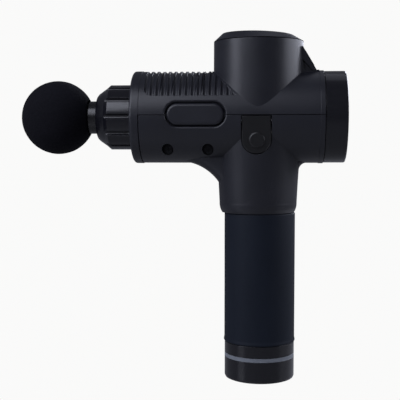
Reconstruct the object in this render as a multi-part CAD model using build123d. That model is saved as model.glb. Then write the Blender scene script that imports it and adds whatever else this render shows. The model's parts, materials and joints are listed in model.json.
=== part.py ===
"""Massage gun with a removable battery handle.

Units are millimetres. +Z is up, the massage head points along -X, and the origin is the
centre of the handle's base, which is the face the gun stands on.
"""

from build123d import *
import math
import os

os.makedirs("parts", exist_ok=True)

# ---------------------------------------------------------------- driving dimensions

AXIS_Z = 179.6  # height of the barrel's axis
SEAM_Z = AXIS_Z + 0.5  # height of the seam between the upper and lower housings
BODY_X = -1.2  # the dome and the neck sit a little ahead of the handle's axis
WALL = 2.3  # moulded housing wall
SEAM = 0.5  # gap between two moulded pieces
RUN = 0.05  # radial clearance of a running fit

# Barrel, dome and neck
BARREL_R = 31.25
NOSE_X = -86.3
NOSE_RIM_R = 31.55
FRONT_SEAM_X = -80.0
REAR_SEAM_X = 42.5
REAR_RIM_R = 31.5
REAR_RIM_X = 39.5
DOME_BASE_R = 30.7
DOME_RIM_R = 30.45
DOME_RIM_Z = 230.1
DOME_TOP_Z = 235.2
DOME_TOP_X = -1.7
DOME_TOP_R = 24.3
DOME_TOP_TILT = 1.7  # degrees, falling toward the rear
NECK_Z = 114.6
NECK_MOUTH_R = 24.7
NECK_LOW_Z = 121.5
NECK_LOW_R = 26.5
NECK_WAIST_Z = 146.0
NECK_WAIST_R = 27.9
NECK_HIGH_Z = AXIS_Z - 2
NECK_HIGH_R = 30.7
NECK_GUIDE_R = 22.25
WEB_HALF = 15.0
WEB_ROUND = 9.0
REAR_WEB_HALF = 9.0
REAR_WEB_ROUND = 5.0

# Ribs on top of the barrel
RIB_PITCH = 3.9
RIB_FIRST_X = -75.0
RIB_COUNT = 17
RIB_GROOVE_R = 1.45  # radius of the rounded groove
RIB_GROOVE_LIFT = 0.45  # the groove's centre stands this far outside the barrel
RIB_LOW_Z = AXIS_Z + 13.3
RIB_PANEL_CORNER = 6.0

# Fairing behind the dome, its opening and its grille
FAIRING_FRONT_X = 24.0
FAIRING_FRONT_HALF = 11.8
FAIRING_REAR_HALF = 8.5
SLOPE_HIGH = (28.3, AXIS_Z + 47.0)
SLOPE_LOW = (37.7, AXIS_Z + 31.3)
SLOPE_RECESS_HALF = 6.6
SLOPE_RECESS_LENGTH = 12.0
SLOPE_RECESS_DEPTH = 1.6
VENT_X = 28.5
VENT_LOW_Z = AXIS_Z + 30.5
GRILLE_SLOTS = 5
GRILLE_PITCH = 2.3

# Oval plates on the barrel's sides
PLATE_X = -42.3
PLATE_Z = AXIS_Z + 0.9
PLATE_LENGTH = 40.0
PLATE_HEIGHT = 16.0
PLATE_FLOOR_Y = 27.1
PLATE_FACE_Y = 30.15
PLATE_ROUND = 2.2
POCKET_ROUND = 1.2

# Screw holes in the barrel's left side
SCREW_XS = (-61.3, -34.4)
SCREW_Z = AXIS_Z - 22.1
SCREW_HOLE_R = 3.8
SCREW_SEAT_Y = 15.0

# Screws under the side plates
COVER_SCREW_XS = (-54.0, -30.0)
COVER_SCREW_Z = AXIS_Z + 4.5

# Release buttons on the neck's sides
BUTTON_X = -2.15
BUTTON_WIDTH = 20.1
BUTTON_TOP_Z = SEAM_Z - 0.35
BUTTON_LOW_Z = AXIS_Z - 25.4
BUTTON_GAP = 0.4
BUTTON_TOP_Y = 31.0  # the flat face leans inward toward its lower end
BUTTON_LOW_Y = 28.7
BUTTON_THICK = 2.3
BUTTON_EDGE = 0.6
BUTTON_STOP_LAP = 1.9
BUTTON_PIVOT_Y = 26.8
BUTTON_PIVOT_Z = AXIS_Z - 2.7
BUTTON_PIN_R = 1.0
BOSS_X = -1.8
BOSS_Z = AXIS_Z - 15.9
BOSS_R = 5.2
BOSS_HEIGHT = 1.1

# Fluted nose sleeve
SLEEVE_R = 22.2
SLEEVE_CORNER_X = -102.5
SLEEVE_FACE_X = -111.5
SLEEVE_FACE_R = 15.6
FLUTES = 12
FLUTE_R = 1.6
FLUTE_START_X = -107.0
FLUTE_END_X = NOSE_X - 2.2

# Piston and massage head
PISTON_R = 11.2
PISTON_FRONT_X = -117.9
PISTON_REAR_X = -70.0
ROD_R = 5.0
SOCKET_R = 9.0
SOCKET_FLOOR_X = -84.0
BALL_X = -140.2
BALL_R = 25.4
BALL_SKIN = 6.0

# Crank and yoke
CRANK_THROW = 6.0
CRANK_PIN_R = 2.5
CRANK_BEARING_R = 6.5
YOKE_SLACK = 1.4
CRANK_LOW_Z = 186.0
CRANK_HIGH_Z = 191.4

# Motor
MOTOR_SHAFT_R = 2.5
MOTOR_BASE_Z = 196.2
ROTOR_R = 24.0
ROTOR_LOW_Z = 203.0
ROTOR_HIGH_Z = 226.0
STATOR_LOW_Z = 206.0
STATOR_HIGH_Z = 220.0
STATOR_TEETH = 12
MAGNETS = 14

# Rear cap
CAP_END_X = 57.4
CAP_R = 31.0
LENS_R = 27.5
CAP_BOSS_R = 24.5
CONTROL_BOARD_X = 34.0

# Battery handle
BASE_TOP_Z = 14.7
RING_TOP_Z = 17.4
COLLAR_TOP_Z = 25.4
HANDLE_R = 24.2
BEAD_LIFT = 0.08  # the bead at the sleeve's lower end, above a narrow groove
BEAD_GROOVE = 0.35
COLLAR_R = 24.0
TUBE_R = 22.5
TUBE_NECK_R = 21.9
TUBE_BORE_R = 20.2
TUBE_TOP_Z = 155.0
CELL_R = 9.15
CELL_CIRCLE_R = 10.9
CELL_LENGTH = 65.0
CELL_LOW_Z = 21.5
LUG_CIRCLE_R = 17.8
LUG_ANGLES = (60, 180, 300)
CELL_ANGLES = (0, 120, 240)

# Charging jack and power rocker in the base
JACK_X = -9.5
ROCKER_X = 9.5
ROCKER_PIVOT_Z = 4.5
ROCKER_TILT = 8.0

SIDES = (-1, 1)  # left is -Y, right is +Y


# ---------------------------------------------------------------- helpers


def cyl_x(radius, x0, x1, y=0.0, z=AXIS_Z):
    """A round bar along X."""
    return Pos((x0 + x1) / 2, y, z) * Rot(0, 90, 0) * Cylinder(radius, abs(x1 - x0))


def cyl_y(radius, y0, y1, x=0.0, z=AXIS_Z):
    """A round bar along Y."""
    return Pos(x, (y0 + y1) / 2, z) * Rot(90, 0, 0) * Cylinder(radius, abs(y1 - y0))


def cyl_z(radius, z0, z1, x=0.0, y=0.0):
    """A round bar along Z."""
    return Pos(x, y, (z0 + z1) / 2) * Cylinder(radius, abs(z1 - z0))


def tube_x(outer, inner, x0, x1, y=0.0, z=AXIS_Z):
    return cyl_x(outer, x0, x1, y, z) - cyl_x(inner, x0 - 1, x1 + 1, y, z)


def tube_z(outer, inner, z0, z1, x=0.0, y=0.0):
    return cyl_z(outer, z0, z1, x, y) - cyl_z(inner, z0 - 1, z1 + 1, x, y)


def block(x0, x1, y0, y1, z0, z1):
    """A box between two corners."""
    middle = Pos((x0 + x1) / 2, (y0 + y1) / 2, (z0 + z1) / 2)
    return middle * Box(abs(x1 - x0), abs(y1 - y0), abs(z1 - z0))


def around_z(radius, degrees):
    """The X and Y of a point on a circle about the handle's axis."""
    angle = math.radians(degrees)
    return radius * math.cos(angle), radius * math.sin(angle)


def turned_x(points):
    """A solid of revolution about the barrel's axis, from (x, radius) points."""
    placed = [(x, AXIS_Z + radius) for x, radius in points]
    face = make_face(Plane.XZ * Polyline(*placed, close=True))
    return revolve(face, Axis((0, 0, AXIS_Z), (1, 0, 0)), 360)


def turned_z(points):
    """A solid of revolution about the handle's axis, from (radius, z) points."""
    face = make_face(Plane.XZ * Polyline(*points, close=True))
    return revolve(face, Axis.Z, 360)


def side_prism(outline, y0, y1):
    """A flat outline in XZ pushed through from y0 to y1."""
    solid = extrude(Plane.XZ * outline, amount=abs(y1 - y0))
    return Pos(0, max(y0, y1), 0) * solid


def polygon_prism(points, y0, y1):
    return side_prism(make_face(Polyline(*points, close=True)), y0, y1)


def stadium(length, height, x, z):
    """A flat oval outline."""
    return Pos(x, z) * SlotOverall(length, height)


def group(pieces):
    """Several solids that share one node."""
    return Compound(children=list(pieces))


def save(node, shape):
    export_step(shape, os.path.join("parts", node + ".step"))


# ---------------------------------------------------------------- outer form of the housings


def barrel_form(shrink):
    """The barrel, or its hollow when shrunk by the wall."""
    front = NOSE_X + (shrink and 2.5)
    rear = REAR_SEAM_X + (1 if shrink else 0)
    if shrink:
        return cyl_x(BARREL_R - shrink, front, rear)
    nose = cyl_x(NOSE_RIM_R, front, FRONT_SEAM_X)
    nose = fillet(nose.faces().sort_by(Axis.X)[0].edges(), 2.0)
    body = cyl_x(BARREL_R, FRONT_SEAM_X, rear)
    return nose + body + cyl_x(REAR_RIM_R, REAR_RIM_X, REAR_SEAM_X)


def dome_form(shrink):
    """The upright motor housing, slightly tapered."""
    low = AXIS_Z - (0 if shrink else 2)
    height = DOME_RIM_Z - low + (1 if shrink else 0)
    cone = Cone(DOME_BASE_R - shrink, DOME_RIM_R - shrink, height)
    return Pos(BODY_X, 0, low + height / 2) * cone


def neck_form(shrink):
    """The flared neck, rounded at its mouth; its hollow keeps a guide there."""
    if shrink:
        hollow = turned_z(
            [
                (0, NECK_LOW_Z),
                (NECK_GUIDE_R - 1, NECK_LOW_Z),
                (NECK_LOW_R - shrink, NECK_LOW_Z + 3),
                (NECK_WAIST_R - shrink, NECK_WAIST_Z),
                (NECK_HIGH_R - shrink, NECK_HIGH_Z),
                (0, NECK_HIGH_Z),
            ]
        )
        return Pos(BODY_X, 0, 0) * hollow + cyl_z(NECK_GUIDE_R, NECK_Z - 1, NECK_LOW_Z + 4)
    mouth = (NECK_MOUTH_R, NECK_Z)
    low = (NECK_LOW_R, NECK_LOW_Z)
    waist = (NECK_WAIST_R, NECK_WAIST_Z)
    high = (NECK_HIGH_R, NECK_HIGH_Z)
    rounded = ThreePointArc(mouth, (NECK_LOW_R - 0.5, NECK_Z + 2.8), low)
    flare = Spline(low, waist, high, tangents=[(0.05, 1.0), (0.08, 1.0)])
    rest = Polyline(high, (0, NECK_HIGH_Z), (0, NECK_Z), mouth)
    return Pos(BODY_X, 0, 0) * revolve(make_face(Plane.XZ * (rounded + flare + rest)), Axis.Z, 360)


def web_form():
    """The hollow-curved web under the barrel, ahead of the neck, with rounded flanks."""
    front = (-49.5, AXIS_Z - 30.6)
    back = (-27.6, AXIS_Z - 45.0)
    curve = ThreePointArc(front, (-37.3, AXIS_Z - 35.4), back)
    rest = Polyline(
        back, (-12.0, AXIS_Z - 45.0), (-12.0, AXIS_Z - 20.0), (front[0], AXIS_Z - 20.0), front
    )
    web = side_prism(make_face(curve + rest), -WEB_HALF, WEB_HALF)
    return fillet(web.edges().filter_by(GeomType.CIRCLE), WEB_ROUND)


def rear_web_form():
    """The small hollow curve between the neck's back and the barrel."""
    low = (26.2, AXIS_Z - 36.6)
    high = (31.6, AXIS_Z - 31.0)
    curve = ThreePointArc(low, (27.9, AXIS_Z - 32.7), high)
    rest = Polyline(high, (high[0], AXIS_Z - 22.0), (15.0, AXIS_Z - 22.0), (15.0, low[1]), low)
    web = side_prism(make_face(curve + rest), -REAR_WEB_HALF, REAR_WEB_HALF)
    return fillet(web.edges().filter_by(GeomType.CIRCLE), REAR_WEB_ROUND)


def fairing_form():
    """The sloped fairing that joins the dome's back to the barrel, narrower toward the rear."""
    profile = polygon_prism(
        [
            (15.0, AXIS_Z + 20),
            (15.0, AXIS_Z + 44),
            SLOPE_HIGH,
            SLOPE_LOW,
            (REAR_RIM_X, AXIS_Z + 31.3),
            (REAR_RIM_X, AXIS_Z + 20),
        ],
        -40,
        40,
    )
    plan = make_face(
        Polyline(
            (15.0, -FAIRING_FRONT_HALF),
            (FAIRING_FRONT_X, -FAIRING_FRONT_HALF),
            (REAR_RIM_X, -FAIRING_REAR_HALF),
            (REAR_RIM_X, FAIRING_REAR_HALF),
            (FAIRING_FRONT_X, FAIRING_FRONT_HALF),
            (15.0, FAIRING_FRONT_HALF),
            close=True,
        )
    )
    return profile & extrude(plan, amount=260)


def outer_form():
    return barrel_form(0) + dome_form(0) + neck_form(0) + web_form() + rear_web_form()


def inner_form():
    return barrel_form(WALL) + dome_form(WALL) + neck_form(WALL)


def button_prism(side, grow):
    """The U-shaped opening of a release button; grow is negative for the button itself."""
    half = BUTTON_WIDTH / 2 + grow
    top = BUTTON_TOP_Z if grow < 0 else SEAM_Z + 1
    centre_z = BUTTON_LOW_Z + BUTTON_WIDTH / 2
    straight = block(BUTTON_X - half, BUTTON_X + half, side * 20, side * 40, centre_z, top)
    return straight + cyl_y(half, side * 20, side * 40, BUTTON_X, centre_z)


def rib_grooves():
    """Rounded grooves around the upper barrel, stopping at the dome."""
    cutter = None
    for index in range(RIB_COUNT):
        x = RIB_FIRST_X + index * RIB_PITCH
        ring = Torus(BARREL_R + RIB_GROOVE_LIFT, RIB_GROOVE_R)
        groove = Pos(x, 0, AXIS_Z) * Rot(0, 90, 0) * ring
        cutter = groove if cutter is None else cutter + groove
    length = RIB_COUNT * RIB_PITCH + RIB_PANEL_CORNER
    height = 80.0
    panel = Pos(RIB_FIRST_X - 2 + length / 2, RIB_LOW_Z + height / 2) * RectangleRounded(
        length, height, RIB_PANEL_CORNER
    )
    keep_off = Pos(BODY_X, 0, AXIS_Z + 30) * Cone(DOME_BASE_R + 1.0, DOME_RIM_R + 1.0, 80)
    return (cutter & side_prism(panel, -40, 40)) - keep_off


def side_pocket(side):
    return side_prism(
        stadium(PLATE_LENGTH, PLATE_HEIGHT, PLATE_X, PLATE_Z), side * PLATE_FLOOR_Y, side * 40
    )


def pocket_backing(side):
    """The pocket's floor, and the wall around it, on the housing's inside."""
    return side_prism(
        stadium(PLATE_LENGTH + 4, PLATE_HEIGHT + 4, PLATE_X, PLATE_Z),
        side * (PLATE_FLOOR_Y - 2.2),
        side * 29.2,
    )


def pocket_lip(side):
    """What rounds off the pocket's outer edge, which follows the barrel."""
    block_in = side_prism(
        stadium(PLATE_LENGTH + 12, PLATE_HEIGHT + 12, PLATE_X, PLATE_Z), side * 20, side * 40
    )
    blank = block_in & cyl_x(BARREL_R, PLATE_X - 40, PLATE_X + 40)
    opened = blank - side_pocket(side)
    rim = [
        edge
        for edge in opened.edges()
        if abs(edge.center().Y) > PLATE_FLOOR_Y + 1
        and abs(edge.center().X - PLATE_X) < PLATE_LENGTH / 2 + 1
        and abs(edge.center().Z - PLATE_Z) < PLATE_HEIGHT / 2 + 1
    ]
    return opened - fillet(rim, POCKET_ROUND)


def whole_shell():
    """Both housings before they are parted at the seams."""
    shell = outer_form() + fairing_form() - inner_form()
    for side in SIDES:
        shell = shell + (pocket_backing(side) & barrel_form(0))
        shell = shell - side_pocket(side)
        shell = shell - pocket_lip(side)
        for x in COVER_SCREW_XS:
            shell = shell - cyl_y(1.6, side * 20, side * 40, x, COVER_SCREW_Z)
    shell = shell - cyl_x(SLEEVE_R + 0.1, NOSE_X - 1, NOSE_X + 4)
    return shell - cyl_z(DOME_RIM_R - WALL, DOME_RIM_Z - 6, DOME_RIM_Z + 1, BODY_X)


def vent_triangle(y0, y1):
    """The three-cornered opening on the side of the fairing, with one corner rounded."""
    low_start = (VENT_X + 2.2, VENT_LOW_Z)
    rear = (VENT_X + 6.9, VENT_LOW_Z)
    peak = (VENT_X, VENT_LOW_Z + 7.6)
    side_end = (VENT_X, VENT_LOW_Z + 2.2)
    corner = ThreePointArc(side_end, (VENT_X + 0.7, VENT_LOW_Z + 0.7), low_start)
    rest = Polyline(low_start, rear, peak, side_end)
    return side_prism(make_face(corner + rest), y0, y1)


def on_slope():
    """The middle of the fairing's sloped face, with Z along its normal."""
    run = SLOPE_LOW[0] - SLOPE_HIGH[0]
    drop = SLOPE_HIGH[1] - SLOPE_LOW[1]
    middle_x = (SLOPE_HIGH[0] + SLOPE_LOW[0]) / 2
    middle_z = (SLOPE_HIGH[1] + SLOPE_LOW[1]) / 2
    return Pos(middle_x, 0, middle_z) * Rot(0, math.degrees(math.atan2(drop, run)), 0)


# ---------------------------------------------------------------- housings


def make_housings():
    shell = whole_shell()
    above = block(NOSE_X - 5, 80, -60, 60, SEAM_Z + SEAM / 2, 260)
    nose = block(NOSE_X - 5, FRONT_SEAM_X - SEAM / 2, -60, 60, 100, 260)
    upper = shell & (above + nose)
    upper = upper - rib_grooves()
    for side in SIDES:
        upper = upper - vent_triangle(side * (SLOPE_RECESS_HALF + 1.2), side * 30)
    recess = Box(SLOPE_RECESS_LENGTH, 2 * SLOPE_RECESS_HALF, 2 * SLOPE_RECESS_DEPTH)
    upper = upper - on_slope() * recess
    boss = tube_x(3.4, 1.2, 30, REAR_SEAM_X - 0.1, 0, AXIS_Z + CAP_BOSS_R)
    rib = block(30, REAR_SEAM_X - 0.1, -1.2, 1.2, AXIS_Z + CAP_BOSS_R + 3, AXIS_Z + BARREL_R - 1)
    upper = upper + boss + rib

    below = block(FRONT_SEAM_X + SEAM / 2, 80, -60, 60, 100, SEAM_Z - SEAM / 2)
    lower = shell & below
    lower = lower + (tube_z(NECK_LOW_R + 2, NECK_GUIDE_R, 144, 147) & neck_form(1.0))
    halves = {}
    for side in SIDES:
        keep = block(-100, 80, side * 0.1, side * 60, 100, AXIS_Z + 10)
        half = lower & keep
        half = half - button_prism(side, 0)
        half = half + button_lugs(side) + button_stop(side) + terminal_ledge(side)
        for x in SCREW_XS:
            half = half + case_boss(side, x)
        if side < 0:
            for x in SCREW_XS:
                half = half - cyl_y(SCREW_HOLE_R, -40, -SCREW_SEAT_Y, x, SCREW_Z)
                half = half - cyl_y(1.6, -SCREW_SEAT_Y - 1, 0, x, SCREW_Z)
        y, z = around_z(CAP_BOSS_R, 210 if side < 0 else 330)
        half = half + rear_boss(y, AXIS_Z + z)
        halves[side] = half
    return upper, halves[-1], halves[1]


def rear_boss(y, z):
    """A screw boss for the rear cap, tied to the barrel's wall by a short rib."""
    boss = tube_x(3.4, 1.2, 30, REAR_SEAM_X - 0.1, y, z)
    angle = math.degrees(math.atan2(z - AXIS_Z, y))
    rib = Pos((30 + REAR_SEAM_X - 0.1) / 2, 0, AXIS_Z) * Rot(angle, 0, 0)
    rib = rib * Pos(0, CAP_BOSS_R + 4.6, 0) * Box(REAR_SEAM_X - 30.1, 3.2, 2.4)
    return boss + rib


def case_boss(side, x):
    """A boss for the screws that hold the lower halves together."""
    reach = math.sqrt(BARREL_R**2 - (AXIS_Z - SCREW_Z) ** 2) - 0.9
    boss = cyl_y(5.4, side * 0.1, side * reach, x, SCREW_Z) & barrel_form(0.6)
    return boss if side < 0 else boss - cyl_y(1.3, 0, 12, x, SCREW_Z)


def button_lugs(side):
    """Two lugs that hold a release button's pivot pin."""
    lugs = None
    for x in (BUTTON_X - BUTTON_WIDTH / 2 - 1.2, BUTTON_X + BUTTON_WIDTH / 2 + 1.2):
        lug = block(x - 0.8, x + 0.8, side * 25.0, side * 29.4, 174.2, SEAM_Z - SEAM / 2)
        lug = lug - cyl_x(BUTTON_PIN_R + 0.02, x - 2, x + 2, side * BUTTON_PIVOT_Y, BUTTON_PIVOT_Z)
        lugs = lug if lugs is None else lugs + lug
    return lugs


def button_stop(side):
    """A plate behind the tab's edge, which closes the gap around it and stops the tab."""
    plate = block(BUTTON_X - 16, BUTTON_X + 16, side * 22.7, side * 23.7, 150.5, 168)
    return (plate & neck_form(1.0)) - button_prism(side, -BUTTON_STOP_LAP)


def terminal_ledge(side):
    """Short ledges in the neck that carry the terminal block."""
    ring = tube_z(27.2, 23.6, 156.5, 159.5, BODY_X)
    keep = block(-30, 30, side * 14.5, side * 30, 150, 165)
    gap = block(BUTTON_X - 11.6, BUTTON_X + 11.6, -40, 40, 150, 165)
    return (ring & keep) - gap


def make_top_cap():
    """The dome's cap: a chamfered lid whose top falls a little toward the rear."""
    low = DOME_RIM_Z + SEAM
    plug_r = DOME_RIM_R - WALL - 0.3
    rim = Pos(BODY_X, 0, low) * Circle(DOME_RIM_R)
    tilt = math.radians(DOME_TOP_TILT)
    top_plane = Plane(
        origin=(DOME_TOP_X, 0, DOME_TOP_Z),
        x_dir=(math.cos(tilt), 0, -math.sin(tilt)),
        z_dir=(math.sin(tilt), 0, math.cos(tilt)),
    )
    lid = loft([rim, top_plane * Circle(DOME_TOP_R)], ruled=True)
    plug = tube_z(plug_r, plug_r - 1.7, low - 3.2, low + 1.0, BODY_X)
    hollow = cyl_z(plug_r - 1.7, low - 1, low + 2.2, BODY_X)
    return lid + plug - hollow


# ---------------------------------------------------------------- nose


def make_nose_sleeve():
    outline = [
        (SLEEVE_FACE_X, 13.0),
        (SLEEVE_FACE_X, SLEEVE_FACE_R - 0.6),
        (SLEEVE_FACE_X + 0.5, SLEEVE_FACE_R),
        (-110.2, 16.4),
        (-108.1, 17.9),
        (-105.2, 19.9),
        (SLEEVE_CORNER_X, SLEEVE_R),
        (NOSE_X + 3.0, SLEEVE_R),
        (NOSE_X + 3.0, 26.0),
        (NOSE_X + 6.0, 26.0),
        (NOSE_X + 6.0, 15.0),
        (-109.0, 15.0),
        (-109.0, 11.7),
        (-110.2, 11.7),
    ]
    sleeve = turned_x(outline)
    for index in range(FLUTES):
        turn = Pos(0, 0, AXIS_Z) * Rot(index * 360 / FLUTES, 0, 0)
        centre_r = SLEEVE_R - 0.2
        length = FLUTE_END_X - FLUTE_START_X
        place = Pos((FLUTE_START_X + FLUTE_END_X) / 2, 0, centre_r) * Rot(0, 90, 0)
        bar = place * Cylinder(FLUTE_R, length)
        tip = Pos(FLUTE_END_X, 0, centre_r) * Sphere(FLUTE_R)
        sleeve = sleeve - turn * (bar + tip)
    return sleeve


def make_nose_bushing():
    return tube_x(14.95, PISTON_R + RUN, -108.9, -88.0)


def make_damper_ring():
    ring = tube_x(25.5, 15.0, NOSE_X + 6.1, -77.2)
    return ring


# ---------------------------------------------------------------- rear cap and display


def rear_screw_spots():
    """The Y and Z of the three screws of the rear cap."""
    spots = [(0.0, AXIS_Z + CAP_BOSS_R)]
    for degrees in (210, 330):
        y, z = around_z(CAP_BOSS_R, degrees)
        spots.append((y, AXIS_Z + z))
    return spots


def make_rear_cap():
    front = REAR_SEAM_X + SEAM
    spigot_r = BARREL_R - WALL - 0.3
    cap = turned_x(
        [
            (front, spigot_r - 2.0),
            (front - 4.0, spigot_r - 2.0),
            (front - 4.0, spigot_r),
            (front, spigot_r),
            (front, CAP_R),
            (CAP_END_X - 0.9, CAP_R),
            (CAP_END_X - 0.25, CAP_R - 0.3),
            (CAP_END_X, CAP_R - 1.0),
            (CAP_END_X, LENS_R + 0.2),
            (CAP_END_X - 1.6, LENS_R + 0.2),
            (CAP_END_X - 1.6, 20.0),
            (CAP_END_X - 3.2, 20.0),
            (CAP_END_X - 3.2, CAP_R - 2.0),
            (front + 2.0, CAP_R - 2.0),
        ]
    )
    for y, z in rear_screw_spots():
        notch = cyl_x(4.6, front - 5, front, y, z)
        cap = cap - notch
        cap = cap + cyl_x(3.4, front, CAP_END_X - 2.0, y, z)
        cap = cap - cyl_x(1.5, front - 1, CAP_END_X, y, z)
        cap = cap - cyl_x(2.5, CAP_END_X - 3.0, CAP_END_X + 1, y, z)
    return cap


def make_rear_cap_screws():
    screws = []
    for y, z in rear_screw_spots():
        shank = cyl_x(1.15, 32.0, CAP_END_X - 2.9, y, z)
        head = cyl_x(2.2, CAP_END_X - 3.0, CAP_END_X - 1.8, y, z)
        slot = block(CAP_END_X - 2.2, CAP_END_X, y - 1.4, y + 1.4, z - 0.3, z + 0.3)
        screws.append(shank + head - slot)
    return group(screws)


def make_screen_lens():
    lens = cyl_x(LENS_R, CAP_END_X - 1.55, CAP_END_X + 0.25)
    return chamfer(lens.faces().sort_by(Axis.X)[-1].edges(), 0.5)


def make_display_module():
    frame = block(CAP_END_X - 6.2, CAP_END_X - 3.25, -15, 15, AXIS_Z - 12, AXIS_Z + 12)
    window = block(CAP_END_X - 3.7, CAP_END_X - 3, -12.5, 12.5, AXIS_Z - 9.5, AXIS_Z + 9.5)
    return frame - window


def make_display_board():
    board = cyl_x(19.8, CAP_END_X - 7.8, CAP_END_X - 6.2)
    for y in (-13.0, 13.0):
        board = board - cyl_x(1.1, CAP_END_X - 9, CAP_END_X - 5, y)
    return board


def make_board_posts():
    """Hexagon posts between the display board and the control board."""
    posts = []
    for y in (-13.0, 13.0):
        post = Pos(CONTROL_BOARD_X + 1.6, y, AXIS_Z) * Rot(0, 90, 0)
        length = CAP_END_X - 7.8 - CONTROL_BOARD_X - 1.6
        hexagon = extrude(RegularPolygon(2.4, 6), amount=length)
        posts.append(post * hexagon)
    return group(posts)


def make_control_board():
    board = block(CONTROL_BOARD_X, CONTROL_BOARD_X + 1.6, -17.2, 17.2, AXIS_Z - 17, AXIS_Z + 16)
    for y in (-13.0, 13.0):
        board = board - cyl_x(1.1, CONTROL_BOARD_X - 1, CONTROL_BOARD_X + 3, y)
    return board


def make_board_components():
    """Six power transistors on the board's front and three capacitors on its back."""
    parts = []
    for row in (-8.0, 6.0):
        for column in (-6.0, 0.0, 6.0):
            parts.append(
                block(CONTROL_BOARD_X - 1.6, CONTROL_BOARD_X, column - 2.4, column + 2.4,
                      AXIS_Z + row - 2.8, AXIS_Z + row + 2.8)
            )
    for y in (-6.5, 0.0, 6.5):
        parts.append(cyl_x(2.9, CONTROL_BOARD_X + 1.6, CONTROL_BOARD_X + 10.0, y, AXIS_Z - 11))
    return group(parts)


# ---------------------------------------------------------------- side plates, vent, screws


def make_side_plate(side):
    outline = stadium(PLATE_LENGTH - 1.2, PLATE_HEIGHT - 1.2, PLATE_X, PLATE_Z)
    plate = side_prism(outline, side * PLATE_FLOOR_Y, side * PLATE_FACE_Y)
    face = plate.faces().sort_by(Axis.Y)[0 if side < 0 else -1]
    plate = fillet(face.edges(), PLATE_ROUND)
    for x in COVER_SCREW_XS:
        plate = plate - cyl_y(2.9, side * 20, side * (PLATE_FLOOR_Y + 1.1), x, COVER_SCREW_Z)
    return plate


def make_cover_screws():
    """Screws under the side plates, from the upper housing into the drive frame."""
    screws = []
    for side in SIDES:
        for x in COVER_SCREW_XS:
            shank = cyl_y(1.15, side * 16, side * (PLATE_FLOOR_Y + 0.2), x, COVER_SCREW_Z)
            head = cyl_y(2.6, side * PLATE_FLOOR_Y, side * (PLATE_FLOOR_Y + 0.9), x, COVER_SCREW_Z)
            screws.append(shank + head)
    return group(screws)


def make_case_screws():
    """Screws deep in the round holes, which hold the lower halves together."""
    screws = []
    for x in SCREW_XS:
        head = cyl_y(2.9, -SCREW_SEAT_Y - 2.0, -SCREW_SEAT_Y, x, SCREW_Z)
        shank = cyl_y(1.25, -SCREW_SEAT_Y - 0.1, 10.0, x, SCREW_Z)
        drive = block(x - 1.6, x + 1.6, -SCREW_SEAT_Y - 2.1, -SCREW_SEAT_Y - 1.1, SCREW_Z - 0.35,
                      SCREW_Z + 0.35)
        cross = block(x - 0.35, x + 0.35, -SCREW_SEAT_Y - 2.1, -SCREW_SEAT_Y - 1.1, SCREW_Z - 1.6,
                      SCREW_Z + 1.6)
        screws.append(head + shank - drive - cross)
    return group(screws)


def make_vent_grille():
    """The slotted insert in the fairing's sloped face, standing a little proud of it."""
    width = 2 * SLOPE_RECESS_HALF - 0.6
    plate = Pos(0, 0, -0.5) * Box(SLOPE_RECESS_LENGTH - 0.6, width, 2.0)
    for index in range(GRILLE_SLOTS):
        y = (index - (GRILLE_SLOTS - 1) / 2) * GRILLE_PITCH
        plate = plate - Pos(0, y, 0.5) * Box(SLOPE_RECESS_LENGTH - 2.8, 1.1, 1.6)
    return on_slope() * plate


# ---------------------------------------------------------------- drive frame and motor


def make_drive_frame():
    """One aluminium casting: motor plate, rod guide and nose ring."""
    plate = cyl_z(26.0, 192.0, 196.0) - cyl_z(12.0, 190, 198)
    beam = block(-60, -22, -13, 13, 191.5, 196.0)
    guide = block(-60, -32, -13, 13, 169, 193)
    ring = tube_x(24.5, 14.0, -77.1, -74.0)
    frame = plate + beam + guide + ring
    for side in SIDES:
        frame = frame + block(-75, -55, side * 12, side * 17, 173, 187)
        for x in COVER_SCREW_XS:
            ear = cyl_y(3.4, side * 12.5, side * (PLATE_FLOOR_Y - 2.3), x, COVER_SCREW_Z)
            frame = frame + ear
        for x in COVER_SCREW_XS:
            frame = frame - cyl_y(1.2, side * 14, side * 30, x, COVER_SCREW_Z)
    frame = frame - cyl_x(8.0, -70, -20)
    for x, y in motor_screw_spots():
        frame = frame - cyl_z(1.2, 190, 198, x, y)
    return frame


def motor_screw_spots():
    return [around_z(18.0, degrees) for degrees in (45, 135, 225, 315)]


def make_rod_bushing():
    return tube_x(7.95, ROD_R + RUN, -59.5, -32.5)


def make_motor_base():
    base = cyl_z(22.5, MOTOR_BASE_Z - 0.2, 199.5) + cyl_z(7.0, 199, 222)
    base = base - cyl_z(5.5, 190, 201.2) - cyl_z(5.5, 216.8, 230) - cyl_z(4.5, 190, 230)
    for x, y in motor_screw_spots():
        base = base - cyl_z(1.7, 190, 201, x, y)
    return base


def make_motor_screws():
    screws = []
    for x, y in motor_screw_spots():
        screws.append(cyl_z(1.15, 192.5, 199.6, x, y) + cyl_z(2.7, 199.5, 201.3, x, y))
    return group(screws)


def make_motor_bearings():
    bearings = []
    for low in (197.0, 217.0):
        outer = tube_z(5.45, 4.6, low, low + 4)
        inner = tube_z(3.4, MOTOR_SHAFT_R + RUN, low, low + 4)
        web = tube_z(4.7, 3.3, low + 0.8, low + 3.2)
        bearings.append(outer + inner + web)
    return group(bearings)


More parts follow.
